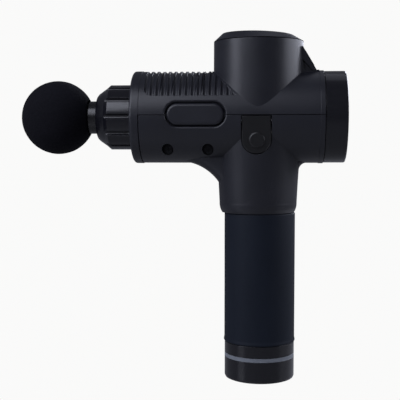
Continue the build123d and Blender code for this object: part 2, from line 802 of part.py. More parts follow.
def make_stator_core():
    core = tube_z(10.5, 7.05, STATOR_LOW_Z, STATOR_HIGH_Z)
    for index in range(STATOR_TEETH):
        turn = Rot(0, 0, index * 360 / STATOR_TEETH)
        core = core + turn * block(9.5, 19.6, -1.3, 1.3, STATOR_LOW_Z, STATOR_HIGH_Z)
    shoes = tube_z(20.4, 18.6, STATOR_LOW_Z, STATOR_HIGH_Z)
    for index in range(STATOR_TEETH):
        turn = Rot(0, 0, (index + 0.5) * 360 / STATOR_TEETH)
        shoes = shoes - turn * block(17, 22, -0.9, 0.9, STATOR_LOW_Z - 1, STATOR_HIGH_Z + 1)
    return core + shoes


def make_stator_windings():
    coils = []
    for index in range(STATOR_TEETH):
        turn = Rot(0, 0, index * 360 / STATOR_TEETH)
        coil = block(11.8, 18.2, -2.6, 2.6, STATOR_LOW_Z - 1.4, STATOR_HIGH_Z + 1.4)
        coil = coil - block(11, 19, -1.4, 1.4, STATOR_LOW_Z - 0.1, STATOR_HIGH_Z + 0.1)
        coils.append(turn * coil)
    return group(coils)


def make_rotor_can():
    can = turned_z(
        [
            (ROTOR_R - 1.5, ROTOR_LOW_Z),
            (ROTOR_R, ROTOR_LOW_Z),
            (ROTOR_R, ROTOR_HIGH_Z - 1.5),
            (ROTOR_R - 1.5, ROTOR_HIGH_Z),
            (MOTOR_SHAFT_R + 0.02, ROTOR_HIGH_Z),
            (MOTOR_SHAFT_R + 0.02, ROTOR_HIGH_Z - 3.4),
            (5.0, ROTOR_HIGH_Z - 3.4),
            (5.0, ROTOR_HIGH_Z - 2.0),
            (ROTOR_R - 1.5, ROTOR_HIGH_Z - 2.0),
        ]
    )
    for index in range(6):
        turn = Rot(0, 0, index * 60)
        can = can - turn * Pos(12.5, 0, ROTOR_HIGH_Z) * Cylinder(3.6, 8)
    return can


def make_rotor_magnets():
    ring = tube_z(ROTOR_R - 1.55, 21.0, 204.5, 222.0)
    magnets = []
    for index in range(MAGNETS):
        wedge = Rot(0, 0, index * 360 / MAGNETS) * block(15, 30, -4.1, 4.1, 200, 230)
        magnets.append(ring & wedge)
    return group(magnets)


def make_motor_shaft():
    return cyl_z(MOTOR_SHAFT_R, CRANK_LOW_Z, ROTOR_HIGH_Z + 0.8)


def make_crank():
    """Hub, pin arm and a counterweight opposite the pin."""
    arm_low = CRANK_LOW_Z
    hub = cyl_z(7.0, arm_low, CRANK_HIGH_Z)
    lobe = cyl_z(5.2, arm_low, CRANK_HIGH_Z, 0, -CRANK_THROW)
    weight = cyl_z(15.5, arm_low, CRANK_HIGH_Z) & block(-20, 20, 2, 20, arm_low, CRANK_HIGH_Z)
    crank = hub + lobe + weight
    crank = crank - cyl_z(MOTOR_SHAFT_R + 0.02, arm_low - 1, CRANK_HIGH_Z + 1)
    crank = crank - cyl_z(CRANK_PIN_R + 0.02, arm_low - 1, CRANK_HIGH_Z - 1.5, 0, -CRANK_THROW)
    return crank


def make_crank_pin():
    return cyl_z(CRANK_PIN_R, 175.6, CRANK_HIGH_Z - 1.5, 0, -CRANK_THROW)


def make_crank_bearing():
    y = -CRANK_THROW
    outer = tube_z(CRANK_BEARING_R, 5.3, 176.6, 183.4, 0, y)
    inner = tube_z(3.7, CRANK_PIN_R + 0.02, 176.6, 183.4, 0, y)
    web = tube_z(5.4, 3.6, 177.6, 182.4, 0, y)
    return outer + inner + web


# ---------------------------------------------------------------- piston and massage head


def make_drive_yoke():
    """A frame with a cross slot for the crank bearing."""
    slot_half_x = CRANK_BEARING_R + YOKE_SLACK
    slot_half_y = CRANK_THROW + CRANK_BEARING_R + 0.6
    low, high = 175.8, 184.4
    frame = block(-slot_half_x - 4, slot_half_x + 3.4, -slot_half_y - 4, slot_half_y + 4, low, high)
    frame = fillet(frame.edges().filter_by(Axis.Z), 4.0)
    boss = block(-21, -slot_half_x - 2, -7.5, 7.5, low, high)
    slot = block(-slot_half_x, slot_half_x, -slot_half_y, slot_half_y, low - 1, high + 1)
    slot = fillet(slot.edges().filter_by(Axis.Z), 6.0)
    return frame + boss - slot - cyl_x(3.42, -22, -slot_half_x + 1)


def make_piston_rod():
    rod = cyl_x(ROD_R, PISTON_REAR_X - 3.9, -21.0)
    return rod + cyl_x(3.4, -22.0, -CRANK_BEARING_R - YOKE_SLACK - 1.0)


def make_piston_tube():
    """The tube that the massage head plugs into."""
    tube = cyl_x(PISTON_R, PISTON_FRONT_X, PISTON_REAR_X)
    tube = chamfer(tube.faces().sort_by(Axis.X)[0].edges(), 0.5)
    tube = tube - cyl_x(SOCKET_R + RUN, PISTON_FRONT_X - 1, SOCKET_FLOOR_X)
    tube = tube - cyl_x(ROD_R + 0.02, PISTON_REAR_X - 4.0, PISTON_REAR_X + 1)
    tube = tube - cyl_x(6.5, SOCKET_FLOOR_X - 1, -78.0)
    return tube


def make_massage_ball():
    """A foam ball moulded over the head's core, with a flat around the shank."""
    ball = Pos(BALL_X, 0, AXIS_Z) * Sphere(BALL_R)
    hollow = Pos(BALL_X, 0, AXIS_Z) * Sphere(BALL_R - BALL_SKIN)
    hole = cyl_x(SOCKET_R + 0.3, BALL_X, -100)
    seat = cyl_x(PISTON_R + 1.2, PISTON_FRONT_X - 0.3, -100)
    return ball - hollow - hole - seat


def make_head_shank():
    """A hollow plug with two O-ring grooves and a hollow round core inside the ball."""
    core_r = BALL_R - BALL_SKIN - 0.05
    plug = cyl_x(SOCKET_R, BALL_X, SOCKET_FLOOR_X - 1.5)
    core = Pos(BALL_X, 0, AXIS_Z) * Sphere(core_r)
    shank = plug + core
    shank = shank - Pos(BALL_X, 0, AXIS_Z) * Sphere(core_r - 2.0)
    shank = shank - cyl_x(SOCKET_R - 2.4, BALL_X, SOCKET_FLOOR_X - 4.0)
    for x in (-90.0, -96.5):
        shank = shank - tube_x(SOCKET_R + 1, SOCKET_R - 1.5, x - 1.1, x + 1.1)
    return shank


def make_head_o_rings():
    rings = []
    for x in (-90.0, -96.5):
        ring = Pos(x, 0, AXIS_Z) * Rot(0, 90, 0) * Torus(SOCKET_R - 0.75, 0.72)
        rings.append(ring)
    return group(rings)


# ---------------------------------------------------------------- neck terminals, buttons


def make_terminal_block():
    plate = cyl_z(25.4, 159.5, 162.0, BODY_X) & block(-30, 30, -19.3, 19.3, 150, 170)
    return plate + block(-12, 12, -8, 8, 156.6, 160)


def make_spring_pins():
    pins = []
    for x in (-7.0, 0.0, 7.0):
        pins.append(cyl_z(1.2, 155.4, 156.6, x, 0) + cyl_z(0.8, 162, 164, x, 0))
    return group(pins)


def make_button(side):
    """A flat tab with bevelled edges and a round boss, and knuckles for its pivot pin."""
    tab = flat_slab(side) & button_prism(side, -BUTTON_GAP)
    face = tab.faces().sort_by(Axis.Y)[0 if side < 0 else -1]
    tab = chamfer(face.edges(), BUTTON_EDGE)
    boss_y = button_face_y(BOSS_Z) + BOSS_HEIGHT
    boss = cyl_y(BOSS_R, side * (boss_y - BOSS_HEIGHT - 1), side * boss_y, BOSS_X, BOSS_Z)
    boss = fillet(boss.faces().sort_by(Axis.Y)[0 if side < 0 else -1].edges(), BOSS_HEIGHT - 0.1)
    tab = tab + boss
    for x0, x1 in knuckle_spans():
        knuckle = cyl_x(2.1, x0, x1, side * BUTTON_PIVOT_Y, BUTTON_PIVOT_Z)
        web = block(x0, x1, side * BUTTON_PIVOT_Y, side * 29.2, BUTTON_PIVOT_Z - 2.1,
                    BUTTON_PIVOT_Z + 1.4)
        tab = tab + knuckle + web
    tab = tab - cyl_x(BUTTON_PIN_R + RUN, -15, 15, side * BUTTON_PIVOT_Y, BUTTON_PIVOT_Z)
    return tab + block(-5, 1, side * 24.6, side * 27.4, 157.2, 159.4)


def flat_slab(side):
    """A leaning slab, wider than the tab that is cut from it."""
    high, low = BUTTON_TOP_Z, BUTTON_LOW_Z
    outline = Polyline(
        (side * BUTTON_TOP_Y, high),
        (side * BUTTON_LOW_Y, low),
        (side * (BUTTON_LOW_Y - BUTTON_THICK), low),
        (side * (BUTTON_TOP_Y - BUTTON_THICK), high),
        close=True,
    )
    slab = extrude(Plane.YZ * make_face(outline), amount=BUTTON_WIDTH)
    return Pos(BUTTON_X - BUTTON_WIDTH / 2, 0, 0) * slab


def button_face_y(z):
    """How far out the tab's flat face stands at a height."""
    share = (z - BUTTON_LOW_Z) / (BUTTON_TOP_Z - BUTTON_LOW_Z)
    return BUTTON_LOW_Y + share * (BUTTON_TOP_Y - BUTTON_LOW_Y)


def knuckle_spans():
    return ((BUTTON_X - 8.0, BUTTON_X - 3.6), (BUTTON_X + 3.6, BUTTON_X + 8.0))


def make_button_pins():
    reach = BUTTON_WIDTH / 2 + 1.9
    pins = []
    for side in SIDES:
        pins.append(cyl_x(BUTTON_PIN_R, BUTTON_X - reach, BUTTON_X + reach,
                          side * BUTTON_PIVOT_Y, BUTTON_PIVOT_Z))
    return group(pins)


def make_button_springs():
    """Torsion springs wound around the pivot pins."""
    springs = []
    for side in SIDES:
        helix = Helix(pitch=0.7, height=5.6, radius=1.32)
        section = Plane(origin=helix @ 0, z_dir=helix % 0) * Circle(0.2)
        coil = sweep(section, path=helix, is_frenet=True)
        place = Pos(BUTTON_X - 2.8, side * BUTTON_PIVOT_Y, BUTTON_PIVOT_Z) * Rot(0, 90, 0)
        springs.append(place * coil)
    return group(springs)


# ---------------------------------------------------------------- battery handle


def make_battery_tube():
    tube = cyl_z(TUBE_R, RING_TOP_Z + 0.2, NECK_Z - 0.4) + cyl_z(TUBE_NECK_R, NECK_Z - 1, TUBE_TOP_Z)
    tube = tube - cyl_z(TUBE_BORE_R, 10, TUBE_TOP_Z - 1.8)
    for degrees in LUG_ANGLES:
        x, y = around_z(LUG_CIRCLE_R, degrees)
        lug = cyl_z(3.0, RING_TOP_Z + 1.4, 26, x, y) & cyl_z(TUBE_BORE_R + 0.5, 10, 30)
        tube = tube + (lug - cyl_z(1.3, 10, 27, x, y))
    for side in SIDES:
        tube = tube - block(-5.4, 1.4, side * 19.8, side * 30, 145, 160)
    for x in (-7.0, 0.0, 7.0):
        tube = tube - block(x - 1.8, x + 1.8, -3.2, 3.2, 150, 160)
    return tube


def make_contact_blades():
    blades = []
    for x in (-7.0, 0.0, 7.0):
        blades.append(block(x - 1.6, x + 1.6, -3.0, 3.0, TUBE_TOP_Z - 1.6, TUBE_TOP_Z - 0.1))
    return group(blades)


def make_battery_latches():
    """Two spring hooks that hold the battery in the neck."""
    hooks = []
    for side in SIDES:
        leaf = block(-5.2, 1.2, side * 19.9, side * 20.6, 145, 158.4)
        nose = block(-5.2, 1.2, side * 20.5, side * 21.2, 155.6, 158.4)
        hooks.append(leaf + nose)
    return group(hooks)


def make_grip_sleeve():
    """The rubber sleeve, with a bead at its lower end above the collar."""
    low = COLLAR_TOP_Z + 0.2
    return turned_z(
        [
            (TUBE_R + 0.05, low),
            (HANDLE_R - 0.2, low),
            (HANDLE_R + BEAD_LIFT, low + 0.4),
            (HANDLE_R + BEAD_LIFT, low + 1.3),
            (HANDLE_R - BEAD_GROOVE, low + 1.7),
            (HANDLE_R - BEAD_GROOVE, low + 2.0),
            (HANDLE_R, low + 2.4),
            (HANDLE_R, NECK_Z - 0.6),
            (HANDLE_R - 0.3, NECK_Z - 0.3),
            (TUBE_R + 0.05, NECK_Z - 0.3),
        ]
    )


def make_battery_collar():
    return tube_z(COLLAR_R, TUBE_R + 0.05, RING_TOP_Z + 0.2, COLLAR_TOP_Z)


def make_light_ring():
    return tube_z(COLLAR_R, 21.6, BASE_TOP_Z + 0.1, RING_TOP_Z)


def make_led_board():
    board = tube_z(20.9, 15.6, 13.2, 14.4)
    for index in range(8):
        x, y = around_z(19.7, 22.5 + 45 * index)
        board = board + cyl_z(0.9, 14.2, 16.2, x, y)
    for degrees in LUG_ANGLES:
        x, y = around_z(LUG_CIRCLE_R, degrees)
        board = board - cyl_z(1.8, 10, 18, x, y)
    return board


def make_base_cap():
    shell = turned_z(
        [
            (0, 0),
            (COLLAR_R - 1.7, 0),
            (COLLAR_R - 0.5, 0.5),
            (COLLAR_R, 1.7),
            (COLLAR_R, BASE_TOP_Z),
            (21.6, BASE_TOP_Z),
            (21.6, 2.6),
            (0, 2.6),
        ]
    )
    for degrees in LUG_ANGLES:
        x, y = around_z(LUG_CIRCLE_R, degrees)
        shell = shell + (cyl_z(3.6, 2.4, 13.1, x, y) & cyl_z(22.0, 0, 14))
        shell = shell - cyl_z(1.5, -1, 20, x, y) - cyl_z(2.8, -1, 2.4, x, y)
    shell = shell - cyl_z(4.2, -1, 4, JACK_X, 0)
    shell = shell - block(ROCKER_X - 4.4, ROCKER_X + 4.4, -6.5, 6.5, -1, 4)
    return shell


def make_base_screws():
    screws = []
    for degrees in LUG_ANGLES:
        x, y = around_z(LUG_CIRCLE_R, degrees)
        head = cyl_z(2.5, 0.7, 2.4, x, y)
        drive = block(x - 1.4, x + 1.4, y - 0.3, y + 0.3, 0, 1.4)
        drive = drive + block(x - 0.3, x + 0.3, y - 1.4, y + 1.4, 0, 1.4)
        screws.append(head + cyl_z(1.25, 2.3, 24, x, y) - drive)
    return group(screws)


def make_charging_jack():
    body = block(JACK_X - 4.6, JACK_X + 4.6, -4.6, 4.6, 2.6, 12.6) + cyl_z(4.0, 0.6, 3, JACK_X, 0)
    body = body - cyl_z(2.8, 0, 11, JACK_X, 0)
    return body + cyl_z(1.0, 1.6, 11.5, JACK_X, 0)


def make_rocker_socket():
    socket = block(ROCKER_X - 5.6, ROCKER_X + 5.6, -7.6, 7.6, 2.6, 12.4)
    socket = socket - block(ROCKER_X - 4.4, ROCKER_X + 4.4, -6.5, 6.5, 2, 9.6)
    return socket - cyl_x(1.25, ROCKER_X - 5.2, ROCKER_X + 5.2, 0, ROCKER_PIVOT_Z)


def make_power_rocker():
    """A rocker with a dished face, stored tilted to its off side."""
    face = make_face(
        Polyline((-5.7, 1.9), (0, 2.7), (5.7, 1.9), (5.2, 6.6), (-5.2, 6.6), close=True)
    )
    body = extrude(Plane.YZ * face, amount=8.0)
    body = Pos(ROCKER_X - 4.0, 0, 0) * body
    body = body + cyl_x(1.2, ROCKER_X - 5.1, ROCKER_X + 5.1, 0, ROCKER_PIVOT_Z)
    return body.rotate(Axis((0, 0, ROCKER_PIVOT_Z), (1, 0, 0)), -ROCKER_TILT)


def cell_lows():
    return (CELL_LOW_Z, CELL_LOW_Z + CELL_LENGTH + 0.8)


def make_battery_cells():
    cells = []
    for low in cell_lows():
        for degrees in CELL_ANGLES:
            x, y = around_z(CELL_CIRCLE_R, degrees)
            can = cyl_z(CELL_R, low, low + CELL_LENGTH - 1.0, x, y)
            high = low + CELL_LENGTH
            crimp = tube_z(CELL_R + 1, CELL_R - 0.5, high - 4.2, high - 3.2, x, y)
            button = cyl_z(3.2, high - 1.5, high, x, y)
            cells.append(can - crimp + button)
    return group(cells)


def make_cell_spacers():
    low, high = cell_lows()
    top = high + CELL_LENGTH
    spacers = []
    for z0, z1 in ((low - 0.8, low), (high - 0.8, high), (top, top + 0.7)):
        disc = cyl_z(20.1, z0, z1)
        for degrees in CELL_ANGLES:
            x, y = around_z(CELL_CIRCLE_R, degrees)
            disc = disc - cyl_z(5.0, z0 - 1, z1 + 1, x, y)
        for degrees in LUG_ANGLES:
            x, y = around_z(LUG_CIRCLE_R, degrees)
            disc = disc - cyl_z(3.4, z0 - 1, z1 + 1, x, y)
        for side in SIDES:
            disc = disc - block(-8, 4, side * 19.7, side * 30, z0 - 1, z1 + 1)
        spacers.append(disc)
    return group(spacers)


def make_protection_board():
    board = cyl_z(19.2, 17.2, 18.8)
    for degrees in LUG_ANGLES:
        x, y = around_z(LUG_CIRCLE_R, degrees)
        board = board - cyl_z(3.8, 15, 20, x, y)
    for x, y in ((-6, 5), (-6, -5), (4, 8), (4, -8)):
        board = board + block(x - 2, x + 2, y - 2.4, y + 2.4, 15.8, 17.3)
    return board


# ---------------------------------------------------------------- write every node

upper_housing, lower_left, lower_right = make_housings()
save("upper_housing", upper_housing)
save("lower_housing_left", lower_left)
save("lower_housing_right", lower_right)
save("top_cap", make_top_cap())
save("nose_sleeve", make_nose_sleeve())
save("nose_bushing", make_nose_bushing())
save("damper_ring", make_damper_ring())
save("rear_cap", make_rear_cap())
save("rear_cap_screws", make_rear_cap_screws())
save("screen_lens", make_screen_lens())
save("display_module", make_display_module())
save("display_board", make_display_board())
save("board_posts", make_board_posts())
save("control_board", make_control_board())
save("board_components", make_board_components())
save("side_plate_left", make_side_plate(-1))
save("side_plate_right", make_side_plate(1))
save("cover_screws", make_cover_screws())
save("case_screws", make_case_screws())
save("vent_grille", make_vent_grille())
save("drive_frame", make_drive_frame())
save("rod_bushing", make_rod_bushing())
save("motor_base", make_motor_base())
save("motor_screws", make_motor_screws())
save("motor_bearings", make_motor_bearings())
save("stator_core", make_stator_core())
save("stator_windings", make_stator_windings())
save("rotor_can", make_rotor_can())
save("rotor_magnets", make_rotor_magnets())
save("motor_shaft", make_motor_shaft())
save("crank", make_crank())
save("crank_pin", make_crank_pin())
save("crank_bearing", make_crank_bearing())
save("drive_yoke", make_drive_yoke())
save("piston_rod", make_piston_rod())
save("piston_tube", make_piston_tube())
save("massage_ball", make_massage_ball())
save("head_shank", make_head_shank())
save("head_o_rings", make_head_o_rings())
save("terminal_block", make_terminal_block())
save("spring_pins", make_spring_pins())
save("release_button_left", make_button(-1))
save("release_button_right", make_button(1))
save("button_pins", make_button_pins())
save("button_springs", make_button_springs())
save("battery_tube", make_battery_tube())
save("contact_blades", make_contact_blades())
save("battery_latches", make_battery_latches())
save("grip_sleeve", make_grip_sleeve())
save("battery_collar", make_battery_collar())
save("light_ring", make_light_ring())
save("led_board", make_led_board())
save("base_cap", make_base_cap())
save("base_screws", make_base_screws())
save("charging_jack", make_charging_jack())
save("rocker_socket", make_rocker_socket())
save("power_rocker", make_power_rocker())
save("battery_cells", make_battery_cells())
save("cell_spacers", make_cell_spacers())
save("protection_board", make_protection_board())
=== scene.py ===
"""Looks of the massage gun: materials, soft pieces, studio light and camera, in metres."""

import json
import math

import bmesh
import bpy
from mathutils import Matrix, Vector, noise


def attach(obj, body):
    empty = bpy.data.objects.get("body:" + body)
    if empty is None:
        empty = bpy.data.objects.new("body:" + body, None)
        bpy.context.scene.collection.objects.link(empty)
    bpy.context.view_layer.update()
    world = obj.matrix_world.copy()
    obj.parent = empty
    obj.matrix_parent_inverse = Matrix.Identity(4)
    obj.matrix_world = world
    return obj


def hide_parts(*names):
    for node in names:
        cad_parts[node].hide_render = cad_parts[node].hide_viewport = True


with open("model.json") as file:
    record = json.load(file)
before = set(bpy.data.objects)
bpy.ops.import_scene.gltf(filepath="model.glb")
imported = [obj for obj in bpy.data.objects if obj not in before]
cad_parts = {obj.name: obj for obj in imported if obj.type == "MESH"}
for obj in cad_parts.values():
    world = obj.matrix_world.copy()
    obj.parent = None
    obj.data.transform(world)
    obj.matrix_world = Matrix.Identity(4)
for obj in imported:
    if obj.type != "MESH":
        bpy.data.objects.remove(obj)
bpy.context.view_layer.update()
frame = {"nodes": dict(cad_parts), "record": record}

MM = 0.001
TINY = 1e-6  # a radius of nearly nothing, which closes a turned mesh at its axis
AXIS_Z = 179.6 * MM  # height of the barrel's axis

# Foam ball
BALL_X = -140.2 * MM
BALL_R = 25.4 * MM
BALL_SEAT_R = 12.2 * MM  # hole for the stem
BALL_LIP = 0.6 * MM  # rounding of the hole's edge
BALL_STEPS = 150  # rings of the mesh
BALL_SEGMENTS = 320
BALL_SHRINK = 0.13 * MM  # keeps the uneven skin inside the ball's size
LUMP_HEIGHT = 0.10 * MM
PIMPLE_HEIGHT = 0.03 * MM
MOULD_LINE_HEIGHT = 0.05 * MM
MOULD_LINE_HALF = 0.22 * MM

# Grip sleeve
SLEEVE_R = 24.2 * MM
SLEEVE_FOOT_Z = 25.7 * MM
SLEEVE_TOP_Z = 114.25 * MM
SLEEVE_ROWS = 120
SLEEVE_RIPPLE = 0.05 * MM
# The rolled bead at the sleeve's foot: (height above the foot, height over the sleeve's radius)
SLEEVE_BEAD = [
    (0.0 * MM, -1.5 * MM),
    (0.0 * MM, -0.15 * MM),
    (0.15 * MM, 0.15 * MM),
    (0.5 * MM, 0.34 * MM),
    (1.0 * MM, 0.36 * MM),
    (1.6 * MM, 0.22 * MM),
    (2.3 * MM, 0.05 * MM),
]
SLEEVE_BEAD_END = 3.0 * MM

# Lips behind the housings' seam
SEAM_Z = AXIS_Z + 0.5 * MM
SEAM_LIP_X = (-79.0 * MM, 41.5 * MM)  # front and rear end
SEAM_LIP_INNER_Y = 28.25 * MM
SEAM_LIP_THICK = 0.45 * MM
SEAM_LIP_HEIGHT = 2.6 * MM
SEAM_LIP_ROUND = 0.12 * MM

# Camera: level with the neck, a little to the screen's side, looking slightly down
CAMERA_AT = (3.8 * MM, -586.5 * MM, 158.5 * MM)
CAMERA_YAW = 4.4  # degrees
CAMERA_PITCH = 3.5  # degrees down
CAMERA_LENS = 76.5
CAMERA_SENSOR = 36.0

# Studio
MIDDLE = (0.0, 0.0, 180.0 * MM)  # what the lights aim at
COOL = (0.92, 0.95, 1.1)  # tint of the light
FLOOR_Z = -58.0 * MM  # low enough for the battery to slide out
STAGE_R = 2.4  # the round room's inner radius
STAGE_BEND = 0.5  # curve between its floor and its wall
STAGE_TOP = 3.2
STAGE_GLOW = 0.955
BOUNCE_GLOW = 0.075
WORLD_GLOW = 0.02
STAGE_WHITE = (1.0, 1.0, 0.995)
# Soft boxes: name, (azimuth in degrees from +X toward +Y, distance, height), (width, height), watts
LIGHTS = [
    ("left_box", (-150, 1.0, 0.60), (0.42, 0.85), 5.0),
    ("right_box", (10, 1.0, 0.50), (1.1, 0.42), 6.2),
    ("right_rim", (58, 1.0, 0.50), (0.6, 0.42), 3.6),
    ("front_box", (-118, 0.85, 0.85), (0.45, 0.75), 3.6),
    ("top_box", (54.5, 0.43, 1.05), (0.8, 0.5), 0.35),
]


# ---------------------------------------------------------------- node helpers


class Tree:
    """Short calls for building one material's node tree."""

    def __init__(self, name):
        self.material = bpy.data.materials.new(name)
        self.material.use_nodes = True
        self.tree = self.material.node_tree
        self.tree.nodes.clear()
        self.output = self.add("ShaderNodeOutputMaterial")
        self.shader = self.add("ShaderNodeBsdfPrincipled")
        self.join(self.shader.outputs[0], self.output.inputs["Surface"])
        self.coords = self.add("ShaderNodeTexCoord").outputs["Object"]

    def add(self, kind, **values):
        node = self.tree.nodes.new(kind)
        for key, value in values.items():
            setattr(node, key, value)
        return node

    def join(self, source, target):
        self.tree.links.new(source, target)

    def put(self, **values):
        """Sets sockets of the main shader, as Base_Color=(...)."""
        for key, value in values.items():
            self.shader.inputs[key.replace("_", " ")].default_value = value

    def noise(self, scale, detail=2.0, rough=0.5, stretch=None):
        """Cloud noise, with features about 1/scale metres wide."""
        node = self.add("ShaderNodeTexNoise")
        node.inputs["Scale"].default_value = scale
        node.inputs["Detail"].default_value = detail
        node.inputs["Roughness"].default_value = rough
        if stretch:
            mapping = self.add("ShaderNodeMapping")
            mapping.inputs["Scale"].default_value = stretch
            self.join(self.coords, mapping.inputs["Vector"])
            self.join(mapping.outputs[0], node.inputs["Vector"])
        else:
            self.join(self.coords, node.inputs["Vector"])
        return node.outputs["Fac"]

    def cells(self, scale, feature="F1"):
        """Distance to the nearest cell's centre, or to its edge."""
        node = self.add("ShaderNodeTexVoronoi", feature=feature)
        node.inputs["Scale"].default_value = scale
        self.join(self.coords, node.inputs["Vector"])
        return node.outputs["Distance"]

    def math(self, operation, a, b, clamp=False):
        """Arithmetic on two sockets or numbers."""
        node = self.add("ShaderNodeMath", operation=operation, use_clamp=clamp)
        for socket, value in zip(node.inputs, (a, b)):
            if isinstance(value, (int, float)):
                socket.default_value = value
            else:
                self.join(value, socket)
        return node.outputs[0]

    def ramp(self, value, low, high, to_low=0.0, to_high=1.0):
        """Maps low..high to to_low..to_high, held at both ends."""
        node = self.add("ShaderNodeMapRange", clamp=True)
        node.inputs["From Min"].default_value = low
        node.inputs["From Max"].default_value = high
        node.inputs["To Min"].default_value = to_low
        node.inputs["To Max"].default_value = to_high
        self.join(value, node.inputs["Value"])
        return node.outputs[0]

    def blend(self, factor, a, b):
        """Mixes two colours, which are tuples or sockets."""
        node = self.add("ShaderNodeMix", data_type="RGBA")
        self.join(factor, node.inputs["Factor"])
        for socket, value in ((node.inputs[6], a), (node.inputs[7], b)):
            if isinstance(value, tuple):
                socket.default_value = (*value, 1.0)
            else:
                self.join(value, socket)
        return node.outputs[2]

    def edges(self, radius, low=0.75, high=0.99):
        """1 on worn outer edges, 0 on open faces."""
        bevel = self.add("ShaderNodeBevel", samples=6)
        bevel.inputs["Radius"].default_value = radius
        geometry = self.add("ShaderNodeNewGeometry")
        dot = self.add("ShaderNodeVectorMath", operation="DOT_PRODUCT")
        self.join(bevel.outputs[0], dot.inputs[0])
        self.join(geometry.outputs["Normal"], dot.inputs[1])
        return self.ramp(dot.outputs["Value"], low, high, 1.0, 0.0)

    def bump(self, height, strength, distance, edge_radius=0.0):
        """Sets the shader's normal from a height, over edges rounded by edge_radius."""
        node = self.add("ShaderNodeBump")
        node.inputs["Strength"].default_value = strength
        node.inputs["Distance"].default_value = distance
        self.join(height, node.inputs["Height"])
        if edge_radius:
            bevel = self.add("ShaderNodeBevel", samples=6)
            bevel.inputs["Radius"].default_value = edge_radius
            self.join(bevel.outputs[0], node.inputs["Normal"])
        self.join(node.outputs[0], self.shader.inputs["Normal"])

    def colour(self, socket):
        self.join(socket, self.shader.inputs["Base Color"])

    def roughness(self, socket):
        self.join(socket, self.shader.inputs["Roughness"])


def brighter(colour, factor):
    """The same colour at another strength; a factor below 1 darkens it."""
    return tuple(min(1.0, channel * factor) for channel in colour)


def moulded(name, colour, rough, grain=2600.0, depth=0.00003, wear=1.6, edge=0.3 * MM, spec=0.5):
    """Moulded plastic or rubber: fine grain, faint blotches and lighter edges."""
    t = Tree(name)
    t.put(Specular_IOR_Level=spec)
    blotch = t.noise(38.0, 4.0, 0.6)
    fine = t.noise(grain, 2.0, 0.6)
    worn = t.edges(edge)
    tone = t.blend(t.ramp(blotch, 0.3, 0.7), brighter(colour, 0.88), brighter(colour, 1.12))
    t.colour(t.blend(worn, tone, brighter(colour, wear)))
    uneven = t.math("ADD", t.ramp(blotch, 0.2, 0.8, -0.04, 0.04), rough)
    t.roughness(t.math("ADD", uneven, t.ramp(fine, 0.3, 0.7, -0.03, 0.03), clamp=True))
    t.bump(fine, 0.35, depth, edge)
    return t.material


def polished(name, colour, rough, spec=0.5, edge=0.35 * MM):
    """Gloss plastic: a shallow moulding ripple, dust and hairline scratches."""
    t = Tree(name)
    t.put(Specular_IOR_Level=spec)
    ripple = t.noise(120.0, 2.0, 0.5)
    scratch = t.noise(900.0, 3.0, 0.7, stretch=(0.12, 1.0, 1.0))
    dust = t.ramp(t.noise(1400.0, 3.0, 0.8), 0.66, 0.78)
    t.colour(t.blend(dust, colour, brighter(colour, 1.8)))
    smooth = t.ramp(scratch, 0.45, 0.8, rough, rough + 0.12)
    t.roughness(t.math("ADD", smooth, t.math("MULTIPLY", dust, 0.1), clamp=True))
    t.bump(t.math("ADD", ripple, t.math("MULTIPLY", scratch, 0.15)), 0.12, 0.00012, edge)
    return t.material


def metal(name, colour, rough, stretch=(1.0, 1.0, 12.0), spots=0.0):
    """Machined or drawn metal with a brushed grain and slight staining."""
    t = Tree(name)
    t.put(Metallic=1.0)
    grain = t.noise(700.0, 3.0, 0.7, stretch=stretch)
    stain = t.noise(55.0, 4.0, 0.6)
    tone = t.blend(t.ramp(stain, 0.3, 0.75), colour, brighter(colour, 0.78))
    worn = t.edges(0.2 * MM)
    t.colour(t.blend(worn, tone, brighter(colour, 1.2)))
    uneven = t.math("ADD", grain, t.math("MULTIPLY", stain, spots))
    t.roughness(t.ramp(uneven, 0.3, 0.9, rough, rough + 0.2))
    t.bump(grain, 0.2, 0.00002, 0.15 * MM)
    return t.material


def foam(name, colour):
    """Closed-cell foam skin: tiny hollows with painted shade in them, faint scuffs and a dry bloom.
    """
    t = Tree(name)
    t.put(Specular_IOR_Level=0.12)
    pits_and_pit_shade = t.cells(1700.0)
    lumps = t.noise(420.0, 4.0, 0.65)
    scuff = t.noise(30.0, 5.0, 0.65)
    tone = t.blend(t.ramp(scuff, 0.35, 0.75), colour, brighter(colour, 1.5))
    # painted shade: the colour drops to half in the hollows of the foam cells, where the bump sinks
    # them
    t.colour(t.blend(t.ramp(pits_and_pit_shade, 0.05, 0.4), brighter(colour, 0.5), tone))
    t.roughness(t.ramp(lumps, 0.3, 0.7, 0.88, 0.98))
    t.bump(t.math("ADD", pits_and_pit_shade, lumps), 0.5, 0.00009)
    return t.material


def silicone(name, colour):
    """Matte silicone sleeve: very fine grain and handling marks."""
    t = Tree(name)
    t.put(Specular_IOR_Level=0.15)
    fine = t.noise(3200.0, 2.0, 0.6)
    marks = t.noise(24.0, 5.0, 0.7, stretch=(1.0, 1.0, 0.45))
    t.colour(t.blend(t.ramp(marks, 0.3, 0.75), brighter(colour, 0.9), brighter(colour, 1.15)))
    handled = t.ramp(marks, 0.2, 0.8, 0.5, 0.62)
    t.roughness(t.math("ADD", handled, t.ramp(fine, 0.3, 0.7, -0.04, 0.04)))
    t.bump(fine, 0.4, 0.00003, 0.3 * MM)
    return t.material


def light_guide(name, colour):
    """Frosted diffuser ring: milky, slightly clouded."""
    t = Tree(name)
    t.put(Subsurface_Weight=0.3, Subsurface_Scale=0.002, Roughness=0.3)
    t.shader.inputs["Subsurface Radius"].default_value = (1.0, 1.0, 1.0)
    cloud = t.noise(200.0, 4.0, 0.6)
    t.colour(t.blend(t.ramp(cloud, 0.3, 0.7), brighter(colour, 0.9), colour))
    t.bump(cloud, 0.1, 0.0001, 0.2 * MM)
    return t.material


